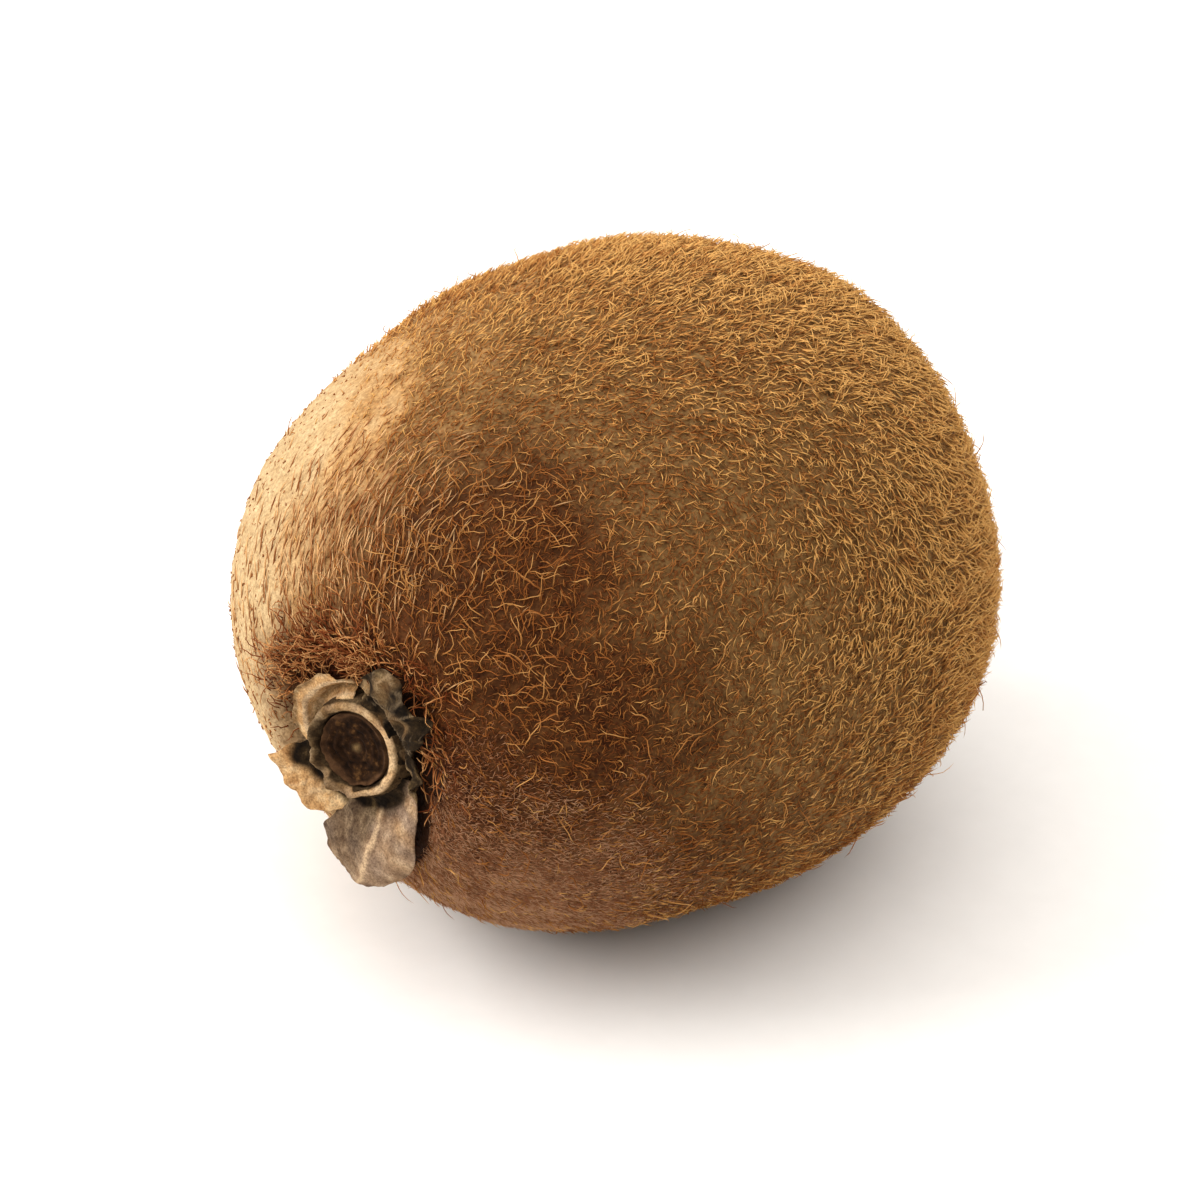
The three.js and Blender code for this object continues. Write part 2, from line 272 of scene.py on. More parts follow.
def region(name, points):
    """How far points about the middle of the body lie in a region, from 0 to 1."""
    shape = REGIONS[name]
    near = [strength * nearness(points, *place) for *place, strength in shape["places"]]
    edge = sum(height * ripple(points, wavelength, seed) for height, wavelength, seed in shape["ripples"])
    return smooth_step(np.max(near, axis=0) + edge, *shape["ends"])


def about_calyx(points):
    """Millimetres from the calyx's middle, and radians round it."""
    across, height = points[..., 0], points[..., 2] + STEM_DENT["drop"]
    return np.hypot(across, height), np.arctan2(height, across)


def from_calyx(points):
    """Millimetres from the calyx, a little uneven, and how nearly above it that is, from 0 to 1."""
    radius, turn = about_calyx(points)
    radius = radius + 0.5 * ripple(points, 3, seed=16)
    above = 0.5 + 0.5 * np.cos(turn - math.radians(BEARD_TURN))
    return np.where(points[..., 1] < 0, radius, np.inf), smooth_step(above, 0.3, 0.85)


def swept(points):
    """Degrees by which the hairs lie off the way to the blossom end."""
    sine, cosine = 0.0, 0.0
    for along, around, turn in SWEEPS:
        share = nearness(points, along, around, SWEEP_SPREAD)
        sine = sine + share * math.sin(math.radians(turn))
        cosine = cosine + share * math.cos(math.radians(turn))
    return np.degrees(np.arctan2(sine, cosine))


def under_sepals(points, beyond=0.0):
    """1 where a sepal lies over the skin, or within this many millimetres of one."""
    radius, turn = about_calyx(points)
    covered = radius < COLLAR["outer"]
    for shape in SEPALS:
        share = np.clip((radius - SEPAL_ROOT) / (shape["reach"] + beyond - SEPAL_ROOT), 0, 2)
        beside = np.degrees(beyond / np.maximum(radius, 1))
        width = 1 - (1 - shape["tip"]) * share ** shape["shoulder"]
        swing = (np.degrees(turn) - shape["turn"] - shape["sway"] * share**2 + 180) % 360 - 180
        covered = covered | ((share < 1) & (np.abs(swing) < shape["spread"] * width + beside))
    return np.where(points[..., 1] < 0, covered, False).astype(float)


def off_calyx(points, inner, outer):
    """0 under the sepals and within the inner radius of the calyx, 1 from the outer radius on."""
    radius, _ = from_calyx(points)
    near = 1 - smooth_step(radius, inner, outer)
    return (1 - near) * (1 - under_sepals(points))


# ---- Meshes ----


def placed(name, data):
    """An object for this data, put in the scene."""
    made = bpy.data.objects.new(name, data)
    bpy.context.scene.collection.objects.link(made)
    return made


def piece_of(name, points, triangles, values, material):
    """A piece on the one body, from points in millimetres, triangles and values for each point."""
    mesh = bpy.data.meshes.new(name)
    mesh.vertices.add(len(points))
    mesh.vertices.foreach_set("co", (points * MM).astype(np.float32).ravel())
    mesh.loops.add(3 * len(triangles))
    mesh.loops.foreach_set("vertex_index", triangles.astype(np.int32).ravel())
    mesh.polygons.add(len(triangles))
    mesh.polygons.foreach_set("loop_start", np.arange(0, 3 * len(triangles), 3, dtype=np.int32))
    mesh.polygons.foreach_set("use_smooth", np.full(len(triangles), True))
    mesh.update(calc_edges=True)
    mesh.validate()
    mesh.materials.append(material)
    for value, numbers in values.items():
        attribute = mesh.attributes.new(value, "FLOAT", "POINT")
        attribute.data.foreach_set("value", np.asarray(numbers, np.float32).ravel())
    piece = placed(name, mesh)
    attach(piece, "root")
    return piece


def add_map(piece, across, along):
    """A bake map that holds one number across and another along, given for each vertex."""
    layer = piece.data.uv_layers.new(name="OFBake")
    corners = np.empty(len(piece.data.loops), np.int32)
    piece.data.loops.foreach_get("vertex_index", corners)
    places = np.stack([across, along], -1).astype(np.float32)[corners]
    layer.uv.foreach_set("vector", places.ravel())


def joined_piece(name, parts, material, node):
    """One piece that stands for a CAD node, from (points, triangles, values) parts."""
    starts = np.cumsum([0] + [len(points) for points, _, _ in parts])
    points = np.concatenate([part[0] for part in parts])
    triangles = np.concatenate([part[1] + start for part, start in zip(parts, starts)])
    values = {value: np.concatenate([part[2][value] for part in parts]) for value in parts[0][2]}
    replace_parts(piece_of(name, points, triangles, values, material), node)


def grid_triangles(rows, columns, closed):
    """Triangles between rows of points, where a closed grid joins its last column to its first."""
    row, column = np.meshgrid(np.arange(rows - 1), np.arange(columns - (not closed)), indexing="ij")
    here = row * columns + column
    beside = row * columns + (column + 1) % columns
    below, across = here + columns, beside + columns
    halves = [np.stack([here, below, across], -1), np.stack([here, across, beside], -1)]
    return np.concatenate([half.reshape(-1, 3) for half in halves])


def capped_triangles(rows, columns):
    """Triangles of a closed grid, and of two fans that shut its ends with the two points after it."""
    centre = np.full(columns, rows * columns)
    ring = np.arange(columns)
    after = np.roll(ring, -1)
    to_last = (rows - 1) * columns
    first = np.stack([centre, ring, after], -1)
    last = np.stack([centre + 1, after + to_last, ring + to_last], -1)
    return np.concatenate([grid_triangles(rows, columns, closed=True), first, last])


def rings_round(lines, headings, upward, girth, angles):
    """Rings of points round centre lines, at these angles in radians."""
    side = unit(np.cross(headings, upward))
    top = np.cross(side, headings)
    arms = side[..., None, :] * np.cos(angles)[:, None] + top[..., None, :] * np.sin(angles)[:, None]
    return lines[..., None, :] + arms * girth[..., None, None]


# ---- Materials ----


class Material:
    """A node material with a Principled shader, and short ways to add nodes to it."""

    def __init__(self, name, roughness, shine):
        self.made = bpy.data.materials.new(name)
        self.made.use_nodes = True
        self.tree = self.made.node_tree
        self.shader = self.tree.nodes["Principled BSDF"]
        self.shader.inputs["Roughness"].default_value = roughness
        self.shader.inputs["Specular IOR Level"].default_value = shine

    def node(self, kind, inputs=None, **settings):
        node = self.tree.nodes.new("ShaderNode" + kind)
        for setting, value in settings.items():
            setattr(node, setting, value)
        for socket, value in (inputs or {}).items():
            self.feed(node.inputs[socket], value)
        return node

    def feed(self, socket, value):
        if isinstance(value, bpy.types.NodeSocket):
            self.tree.links.new(value, socket)
        else:
            socket.default_value = (*value, 1) if socket.type == "RGBA" else value

    def finished(self, colour, normal=None):
        """The material, with its colour and any bumps."""
        self.feed(self.shader.inputs["Base Color"], colour)
        if normal:
            self.feed(self.shader.inputs["Normal"], normal)
        return self.made

    def value_of(self, attribute):
        return self.node("Attribute", attribute_name=attribute).outputs["Fac"]

    def places(self):
        """Positions in the frame, in millimetres."""
        where = self.node("TexCoord").outputs["Object"]
        return self.node("Mapping", {"Vector": where, "Scale": [1 / MM] * 3}).outputs["Vector"]

    def noise(self, size, detail, roughness=0.55):
        """Noise from 0 to 1 whose features are about size millimetres."""
        inputs = {"Vector": self.places(), "Scale": 1 / size, "Detail": detail, "Roughness": roughness}
        return self.node("TexNoise", inputs).outputs["Fac"]

    def spots(self, size):
        """Spots about size millimetres apart, 1 in the middle and 0 between, each with a random colour."""
        inputs = {"Vector": self.places(), "Scale": 1 / size}
        cells = self.node("TexVoronoi", inputs).outputs
        return self.spread(cells["Distance"], 0.55, 0.2), cells["Color"]

    def ramp(self, share, colours, places=(0.3, 0.7)):
        """A colour for a number from 0 to 1, between colours that stand at these places."""
        node = self.node("ValToRGB", {"Fac": share})
        elements = node.color_ramp.elements
        while len(elements) < len(colours):
            elements.new(0.5)
        for element, colour, place in zip(elements, colours, places):
            element.position = place
            element.color = (*colour, 1)
        return node.outputs["Color"]

    def spread(self, share, low, high):
        """A number stretched so that low gives 0 and high gives 1."""
        inputs = {"Value": share, "From Min": low, "From Max": high}
        return self.node("MapRange", inputs).outputs["Result"]

    def product(self, first, second):
        return self.node("Math", {0: first, 1: second}, operation="MULTIPLY").outputs["Value"]

    def blend(self, share, low, high, mode="MIX"):
        inputs = {0: share, 6: low, 7: high}
        return self.node("Mix", inputs, data_type="RGBA", blend_type=mode).outputs[2]

    def bump(self, height, distance, strength, normal=None):
        """Bumps of a height from 0 to 1, up to a distance in millimetres."""
        inputs = {"Height": height, "Distance": distance * MM, "Strength": strength}
        if normal:
            inputs["Normal"] = normal
        return self.node("Bump", inputs).outputs["Normal"]


# the colour of painted shade on the skin under and round the sepals
SEPAL_SHADE = (0.04, 0.016, 0.007)
# the colour of the painted highlight on crests of the calyx
RIDGE_HIGHLIGHT = (0.62, 0.44, 0.26)


def skin_material():
    m = Material("kiwi_skin", roughness=0.8, shine=0.08)
    mottle = m.noise(1.1, 4)
    fine = m.noise(0.28, 2)
    olives = [(0.11, 0.056, 0.018), (0.19, 0.106, 0.037), (0.27, 0.165, 0.065)]
    olive = m.ramp(mottle, olives, (0.3, 0.55, 0.75))
    dark = m.ramp(mottle, [(0.038, 0.012, 0.003), (0.105, 0.041, 0.0115)])
    rosy = m.ramp(mottle, [(0.2, 0.092, 0.045), (0.36, 0.185, 0.097)])
    tan = m.ramp(mottle, [(0.38, 0.202, 0.068), (0.56, 0.328, 0.132)])
    creams = [(0.5, 0.335, 0.163), (0.61, 0.438, 0.232), (0.68, 0.51, 0.285)]
    pale = m.ramp(mottle, creams, (0.25, 0.55, 0.75))
    # russet skin, dark enough to carry painted shade in the stem dent too
    russet_and_shade = m.ramp(mottle, [(0.035, 0.008, 0.003), (0.11, 0.03, 0.01)])
    bald = m.value_of("bald")
    colour = m.blend(m.value_of("rosy"), olive, rosy)
    colour = m.blend(m.spread(bald, 0.0, 0.45), colour, tan)
    colour = m.blend(m.spread(bald, 0.35, 1.0), colour, pale)
    colour = m.blend(m.value_of("dark"), colour, dark)
    colour = m.blend(m.value_of("russet_and_shade"), colour, russet_and_shade)
    # painted shade under and round the sepals
    colour = m.blend(m.value_of("sepal_shade"), colour, SEPAL_SHADE)
    granules, hue = m.spots(0.34)
    grain = m.ramp(hue, [(0.42, 0.27, 0.21), (1.25, 0.84, 0.6), (1.5, 1.52, 1.4)], (0.2, 0.5, 0.8))
    grown = m.product(granules, m.spread(bald, 0.7, 0.1))
    colour = m.blend(m.product(grown, 0.8), colour, grain, "MULTIPLY")
    shade = m.ramp(fine, [(0.4, 0.32, 0.27), (1.06, 1.06, 1.06)])
    bumps = m.bump(granules, 0.08, 0.8, m.bump(mottle, 0.12, 0.6))
    return m.finished(m.blend(0.6, colour, shade, "MULTIPLY"), m.bump(fine, 0.05, 0.8, bumps))


def hair_material(name, root, middle, tip, warm):
    """Hair whose colour runs from root to tip, and from one hair to the next."""
    m = Material(name, roughness=0.7, shine=0.06)
    base = m.ramp(m.value_of("along"), [root, middle, tip], (0, 0.35, 1))
    tone = m.value_of("tone")
    tinted = m.blend(m.spread(tone, 0.1, 0.7), warm, base)
    shade = m.ramp(tone, [(0.57, 0.54, 0.52), (0.9, 0.9, 0.9), (1.06, 1.06, 1.06)], (0, 0.5, 1))
    return m.finished(m.blend(1.0, tinted, shade, "MULTIPLY"))


def calyx_material():
    m = Material("dried_sepal", roughness=0.9, shine=0.06)
    mottle = m.noise(1.3, 8, 0.6)
    grain = m.noise(0.16, 3)
    tans = [(0.27, 0.125, 0.042), (0.52, 0.305, 0.13), (0.74, 0.53, 0.29)]
    greys = [(0.115, 0.071, 0.046), (0.225, 0.15, 0.1), (0.385, 0.275, 0.185)]
    blacks = [(0.006, 0.0036, 0.002), (0.028, 0.017, 0.008), (0.13, 0.082, 0.034)]
    tan, grey = (m.ramp(mottle, colours, (0.3, 0.5, 0.7)) for colours in (tans, greys))
    black = m.ramp(mottle, blacks, (0.4, 0.56, 0.72))
    colour = m.blend(m.value_of("grey"), tan, grey)
    # dark is each sepal's own blackening, together with painted shade at its foot, on the left of its fold
    # and in its pleat troughs, and painted shade on the collar
    colour = m.blend(m.value_of("dark"), colour, black)
    # painted highlight on crests
    colour = m.blend(m.value_of("ridge"), colour, RIDGE_HIGHLIGHT)
    grains = m.ramp(grain, [(0.5, 0.48, 0.48), (1.05, 1.05, 1.05)], (0.35, 0.6))
    bumps = m.bump(grain, 0.04, 0.7, m.bump(mottle, 0.15, 0.6))
    return m.finished(m.blend(0.85, colour, grains, "MULTIPLY"), bumps)


def scar_material():
    m = Material("scar_cork", roughness=0.9, shine=0.06)
    mottle = m.noise(0.8, 8, 0.65)
    blacks = [(0.006, 0.0025, 0.001), (0.024, 0.0105, 0.004), (0.11, 0.054, 0.018)]
    core = m.ramp(mottle, blacks, (0.35, 0.55, 0.72))
    knob = m.ramp(mottle, [(0.08, 0.045, 0.018), (0.22, 0.145, 0.065)], (0.35, 0.65))
    edge = m.ramp(mottle, [(0.03, 0.014, 0.006), (0.09, 0.046, 0.022)])
    colour = m.blend(m.value_of("knob"), core, knob)
    colour = m.blend(m.value_of("edge"), colour, edge)
    lines = m.blend(m.value_of("line"), (0.62, 0.58, 0.55), (1.1, 1.05, 1.0))
    return m.finished(m.blend(1.0, colour, lines, "MULTIPLY"), m.bump(mottle, 0.2, 0.8))


def style_material():
    m = Material("dried_style", roughness=0.8, shine=0.25)
    mottle = m.noise(0.4, 6)
    colour = m.ramp(mottle, [(0.03, 0.016, 0.009), (0.13, 0.075, 0.04)])
    return m.finished(colour, m.bump(mottle, 0.1, 0.7))


def floor_material():
    m = Material("pale_floor", roughness=0.6, shine=0.2)
    grain = m.noise(3.0, 3)
    return m.finished(m.ramp(grain, [(0.85, 0.84, 0.825), (0.87, 0.86, 0.845)]))


# ---- The fruit's skin ----


def fruit_skin():
    along, around = grid_angles(SKIN_ROWS, SKIN_COLUMNS, SKIN_POLE_CROWDING)
    along = np.append(along, [POLE_MARGIN, math.pi - POLE_MARGIN])
    points, normals, _ = skin_frames(along, np.append(around, [0, 0]))
    about = points - MIDDLE
    points = points + normals * skin_relief(about)[:, None]
    points[:, 2] = np.maximum(points[:, 2], 0)
    radius, above = from_calyx(about)
    values = {name: region(name, about) for name in ("bald", "dark", "rosy")}
    # russet skin round the calyx, strongest above it: partly its own colour, partly painted shade in the
    # dent there
    values["russet_and_shade"] = (1 - smooth_step(radius, 6.5, 14.0)) * mix(0.5, 1.0, above)
    # painted shade under and round the sepals, on the +X side
    values["sepal_shade"] = under_sepals(about, SEPAL_SHADE_WIDTH) * smooth_step(about[:, 0], -1, 2)
    triangles = capped_triangles(SKIN_ROWS - 1, SKIN_COLUMNS)
    joined_piece("fruit_skin", [(points, triangles, values)], skin_material(), "fruit")


# ---- The stem end ----


def stem_end_at(radius, turn):
    """Points and normals of the skin at a radius and a turn about the middle of the stem's dent."""
    across = radius * np.cos(turn) / HALF_WIDTH
    height = (radius * np.sin(turn) - STEM_DENT["drop"]) / HALF_HEIGHT
    around = np.arctan2(height, across)
    along = np.arcsin((np.hypot(across, height) / (1 - TAPER)) ** (STEM_FULLNESS / 2))
    points, normals, _ = skin_frames(along, around)
    return points, normals


def sepal_outline(shape, seed):
    """Share of the way out, share to each side from -1 to 1, radius and degrees round, as grids."""
    share, across = np.meshgrid(
        np.linspace(0, 1, SEPAL_ROWS), np.linspace(0, 1, SEPAL_COLUMNS), indexing="ij"
    )
    side = 2 * across - 1
    width = 1 - (1 - shape["tip"]) * share ** shape["shoulder"]
    flat = np.stack([4 * share, 3 * side * width, np.full(share.shape, float(seed))], -1)
    width = width * (1 + 0.05 * share * ripple(flat, 1.1, seed + 1))
    swing = shape["turn"] + shape["sway"] * share**2 + side * shape["spread"] * width
    ragged = 1 + shape["ragged"] * ripple(flat * [0, 1, 1], 1.5, seed + 2)
    return share, side, mix(SEPAL_ROOT, shape["reach"] * ragged, share), swing


def sepal_height(shape, share, side, crease, pleat, fine):
    """How high a sepal's inner face stands over the skin: its fold, rucks, creases and pleats."""
    fold = shape["ridge"] * np.sqrt(share) * (1 - np.abs(side))
    along_waves = np.sin(RUCK_WAVES["along"] * share + RUCK_WAVES["across"] * side + shape["turn"])
    waves = 1 + along_waves * np.cos(RUCK_WAVES["slant"] * side - shape["turn"])
    loose = smooth_step(share, 0.0, 0.35)
    height = GAP + CAD_SEPAL_THICKNESS - SEPAL_THICKNESS
    height = height + SEPAL_CLIMB * (1 - smooth_step(share, 0.0, 0.3))
    height = height + shape["lift"] * share**1.6 + fold + shape["ruck"] / 2 * waves * share
    return height + loose * (shape["crumple"] * crease + 0.03 * fine) + shape["pleats"] * pleat


def sepal_values(shape, seed, points, share, side, crease, pleat):
    """How grey and how dark each place of a sepal is, and how strong the painted highlight on its crests
    is, from 0 to 1.
    """
    sharp = 1 - smooth_step(np.abs(side + 0.02 * ripple(points, 1.5, seed + 8)), 0.0, 0.07)
    folded = smooth_step(crease, 0.8, 1.0) * np.minimum(shape["crumple"] / 0.3, 0.6)
    # painted shade: the sepal's foot is darkened out to the share given for it
    shaded_to = shape["foot_shade"] - 0.1 * side + 0.03 * ripple(points, 3.0, seed + 7)
    foot_shade = 1 - smooth_step(share - shaded_to, -0.12, 0.02)
    # painted highlight on the fold, the pleats' crests and the creases' crests
    highlights = np.maximum(shape["ridge"] * sharp, smooth_step(pleat, 0.6, 1.0) * shape["pleats"] / 0.32)
    highlights = np.maximum(folded, highlights) * (1 - 0.65 * shape["dark"]) * (1 - foot_shade)
    # painted shade on the left of the fold, strongest near the foot
    facet_shade = shape["facet_shade"] * smooth_step(-side, 0.02, 0.2) * (1 - 0.75 * share**2)
    # painted shade in the troughs of the pleats
    trough_shade = 0.5 * smooth_step(-pleat, 0.1, 0.9) * (shape["pleats"] > 0)
    rot = shape["dark"] * (1.05 + 0.25 * ripple(points, 3.4, seed + 6))
    weathered = shape["grey"] + 0.1 * ripple(points, 2.5, seed + 5)
    return {
        "grey": np.clip(weathered, 0, 1),
        "dark": np.clip(np.max([rot, facet_shade, foot_shade, trough_shade], axis=0), 0, 1),
        "ridge": np.clip(smooth_step(share, 0.0, 0.35) * highlights, 0, 0.85),
    }


def sepal(shape, seed):
    """Points, triangles and values of one dried sepal, a thin creased sheet with ragged edges."""
    share, side, radius, swing = sepal_outline(shape, seed)
    points, normals = stem_end_at(radius, np.radians(swing))
    crease = 1 - np.abs(ripple(points, 2.6, seed + 3))
    pleat = np.sin(2 * math.pi * (1.7 * share + 0.12 * side))
    height = sepal_height(shape, share, side, crease, pleat, ripple(points, 0.7, seed + 4))
    edge = 1 - smooth_step(np.abs(side), 0.75, 1.0) * 0.6
    thickness = SEPAL_THICKNESS * edge * (1 - 0.5 * smooth_step(share, 0.8, 1.0))
    under = points + normals * (height + (SEPAL_THICKNESS - thickness) / 2)[..., None]
    over = under + normals * thickness[..., None]
    return slab(under, over, sepal_values(shape, seed, points, share, side, crease, pleat))


def slab(under, over, values):
    """A closed sheet from its two faces, with each value repeated on both."""
    rows, columns, _ = under.shape
    faces = grid_triangles(rows, columns, closed=False)
    count = rows * columns
    index = np.arange(count).reshape(rows, columns)
    rim = np.concatenate([index[:, 0], index[-1, 1:], index[-2::-1, -1], index[0, -2:0:-1]])
    after = np.roll(rim, -1)
    walls = [np.stack([rim, after, after + count], -1), np.stack([rim, after + count, rim + count], -1)]
    triangles = np.concatenate([faces[:, ::-1], faces + count, *walls])
    points = np.concatenate([under.reshape(-1, 3), over.reshape(-1, 3)])
    return points, triangles, {k: np.tile(v.ravel(), 2) for k, v in values.items()}


def on_stem_seat(radius, turn, height):
    """Places at a height over the floor of the stem's dent, where the face leans."""
    across, up = radius * np.cos(turn), radius * np.sin(turn)
    towards = math.radians(FACE_LEAN_TURN)
    offset = across * math.cos(towards) + up * math.sin(towards)
    lean = math.tan(math.radians(FACE_LEAN)) * offset * (height - GAP) / COLLAR["height"]
    seat = -(STEM_REACH - STEM_DENT["depth"])
    return MIDDLE + np.stack([across, seat - height + lean, up - STEM_DENT["drop"]], -1)


def circled(profile, columns):
    """Grids of radius, height and turn in radians for (radius, height) stops taken full circle."""
    radius, height = np.array(profile)[:, :, None].transpose(1, 0, 2)
    turn = 2 * math.pi * np.arange(columns)[None, :] / columns
    return np.broadcast_arrays(radius, height, turn)


def turned(profile, columns, seed, rough, ovalness=0.0):
    """Points of a skin turned about the seat's middle from (radius, height) stops, and roughened."""
    radius, height, turn = circled(profile, columns)
    oval = 1 + ovalness * (1 + np.sin(2 * turn + 0.8))
    round_about = np.stack([np.cos(turn) * radius, np.sin(turn) * radius, height], -1)
    wobble = rough * (ripple(round_about, 2.2, seed) + 0.5 * ripple(round_about, 0.7, seed + 1))
    return on_stem_seat(radius * oval + 0.5 * wobble, turn, height + wobble)


def finer_stops(stops, pieces):
    """Stops with this many steps from each to the next."""
    stops = np.array(stops)
    share = np.arange(pieces)[:, None] / pieces
    between = [mix(low, high, share) for low, high in zip(stops, stops[1:])]
    return np.concatenate([*between, stops[-1:]])


def collar():
    """Points, triangles and values of the corky ring round the scar."""
    inner, crest, outer = COLLAR["inner"], COLLAR["crest"], COLLAR["outer"]
    top = GAP + COLLAR["height"]
    bore = [(inner, GAP), (inner - 0.18, top - 0.6), (inner - 0.1, top - 0.32), (inner + 0.14, top - 0.06)]
    rim = [(crest, top), (crest + 0.2, top - 0.12)]
    side = [(outer - 0.15, GAP + 0.5 * COLLAR["height"]), (outer, GAP), (inner, GAP)]
    stops = finer_stops(bore + rim + side, 5)[:-1]
    columns = 180
    points = turned(stops, columns, 61, 0.1, COLLAR["ovalness"])
    rows = len(stops)
    triangles = grid_triangles(rows + 1, columns, closed=True) % (rows * columns)
    flat = points.reshape(-1, 3)
    radius, height, turn = (grid.ravel() for grid in circled(stops, columns))
    # Painted shade darkens the bore, the outer wall below the rim and the side of the ring away from its
    # lit turn; a painted highlight makes the crest pale towards that turn.
    inside = 1 - smooth_step(radius + 0.05 * ripple(flat, 1.2, 64), inner - 0.02, crest - 0.12)
    outside = 1 - smooth_step(height, top - 0.5, top - 0.15)
    lit_side = 0.5 + 0.5 * np.cos(turn - math.radians(RIM_LIT_TURN)) + 0.1 * ripple(flat, 1.6, 65)
    rim_highlight = np.clip(0.48 * lit_side + 0.12 * ripple(flat, 1.1, 67), 0, 0.6)
    values = {
        "grey": np.clip(0.1 + 0.15 * ripple(flat, 2.0, 62), 0, 1),
        "dark": np.clip(np.max([0.95 * inside, 0.9 * outside, 0.85 * (1 - lit_side)], axis=0), 0, 1),
        "ridge": rim_highlight * (1 - inside) * (1 - outside),
    }
    return flat, triangles[:, ::-1], values


def calyx():
    """The collar and the sepals in one mesh."""
    parts = [collar()] + [sepal(shape, 70 + 10 * index) for index, shape in enumerate(SEPALS)]
    joined_piece("calyx_sepals", parts, calyx_material(), "calyx")


def stalk_scar():
    """A dark corky plug with rings on its face and a low knob in the middle."""
    radius, face = SCAR["radius"] + SCAR_FILLS, GAP + SCAR["thickness"]
    share = np.linspace(1, 0, 50)[:-1]
    rings = 0.045 * np.cos(share * 2 * math.pi * SCAR_RINGS) + 0.24 * (share**3 - 0.3)
    middle = share * radius
    knob = 0.24 * np.exp(-((middle / 0.35) ** 2)) - 0.14 * np.exp(-((middle / 0.8) ** 2))
    top = [(radius * s, face + h - 0.1) for s, h in zip(share, rings + knob)]
    stops = [(radius, GAP), (radius + 0.02, GAP + 0.6)] + top
    columns = 120
    points = turned(stops, columns, 63, 0.06).reshape(-1, 3)
    ends = on_stem_seat(np.zeros(2), np.zeros(2), np.array([GAP, face + 0.02]))
    triangles = capped_triangles(len(stops), columns)[:, ::-1]
    shares = np.append(circled(stops, columns)[0] / radius, [0, 0])
    points = np.concatenate([points, ends])
    wobble = 0.06 * ripple(points, 2.0, 66)
    values = {
        "edge": smooth_step(shares + wobble, 0.8, 0.98),
        "knob": 1 - smooth_step(shares + wobble, 0.04, 0.2),
        "line": 0.5 + 0.5 * np.cos((shares + wobble) * 2 * math.pi * SCAR_RINGS),
    }
    joined_piece("scar_plug", [(points, triangles, values)], scar_material(), "stalk_scar")


# ---- The blossom end ----


def style_brush():
    """A woody button with a brush of dried curling styles."""
    random = np.random.default_rng(81)
    count = STYLES["count"]
    turn = np.arange(count) * math.pi * (3 - math.sqrt(5))
    share = np.sqrt((np.arange(count) + 0.5) / count)
    flat = np.stack([np.cos(turn), 0 * turn, np.sin(turn)], -1)
    outward = np.array([0.0, 1.0, 0.0])
    foot = BLOSSOM_REACH - BLOSSOM_DENT["depth"] + GAP
    roots = MIDDLE + outward * foot + flat * (0.9 * share)[:, None] + outward * 0.2
    normals = np.tile(outward, (count, 1))
    lean = np.radians(STYLES["splay"]) * share
    turns = bent_turns(random, random.normal(0, 0.3, count), random.uniform(0, 1.2, count), 0.1, 9)
    length = STYLES["length"] * random.uniform(0.7, 1.05, count)
    lift, rest = math.pi / 2 - 0.4 * lean, math.pi / 2 - 1.5 * lean
    lines, headings = strand_lines(roots, normals, flat, length, turns, lift, rest)
    parts = [stub(lines[i], headings[i], 0.2, 8) for i in range(count)]
    parts.append(button(foot))
    joined_piece("style_brush_dried", parts, style_material(), "style_brush")


def stub(line, headings, radius, sides):
    """A closed tapered rod round a centre line, with a slightly knobbed tip."""
    headings = np.concatenate([headings, headings[-1:]])
    share = np.linspace(0, 1, len(line))
    girth = radius * (1 - HAIR_TAPER * share + 0.25 * smooth_step(share, 0.8, 1.0))
    angles = 2 * math.pi * np.arange(sides) / sides
    rings = rings_round(line, headings, [0.3, 0.1, 0.9], girth, angles)
    points = np.concatenate([rings.reshape(-1, 3), line[:1], line[-1:]])
    return points, capped_triangles(len(line), sides)[:, ::-1], {}


def button(foot):
    """The low woody button that the styles stand on."""
    stops = finer_stops(BUTTON_STOPS, 8)
    columns = 60
    radius, height, turn = circled(stops, columns)
    local = np.stack([radius * np.cos(turn), height, radius * np.sin(turn)], -1)
    local = local * (1 + 0.06 * ripple(local, 0.9, 82))[..., None]
    points = MIDDLE + local + [0, foot, 0]
    ends = MIDDLE + np.array([[0, foot, 0], [0, foot + 0.68, 0]])
    return np.concatenate([points.reshape(-1, 3), ends]), capped_triangles(len(stops), columns), {}


# ---- Hairs ----


def scatter(count, density, seed):
    """Angles of about count points over the skin, as many to an area as density says."""
    rows, columns = 240, 400
    edges = row_angles(rows, SKIN_POLE_CROWDING)
    step_along, step_around = math.pi / rows, 2 * math.pi / columns
    middles = 2 * math.pi * (np.arange(columns) + 0.5) / columns
    along, around = np.meshgrid((edges[1:] + edges[:-1]) / 2, middles, indexing="ij")
    area = np.linalg.norm(np.cross(*slopes(body_points, along, around)), axis=-1)
    spacing = np.gradient(along, axis=0) / step_along
    weight = (area * spacing * density(body_points(along, around))).ravel()
    reached = np.floor(np.cumsum(weight) / weight.sum() * count).astype(int)
    number = np.diff(reached, prepend=0)
    cell = np.repeat(np.arange(len(weight)), number)
    random = np.random.default_rng(seed)
    jitter = random.uniform(-0.5, 0.5, (2, len(cell)))
    along = along.ravel()[cell] + jitter[0] * step_along * spacing.ravel()[cell]
    around = around.ravel()[cell] + jitter[1] * step_around
    return np.clip(along, 1e-3, math.pi - 1e-3), around, random


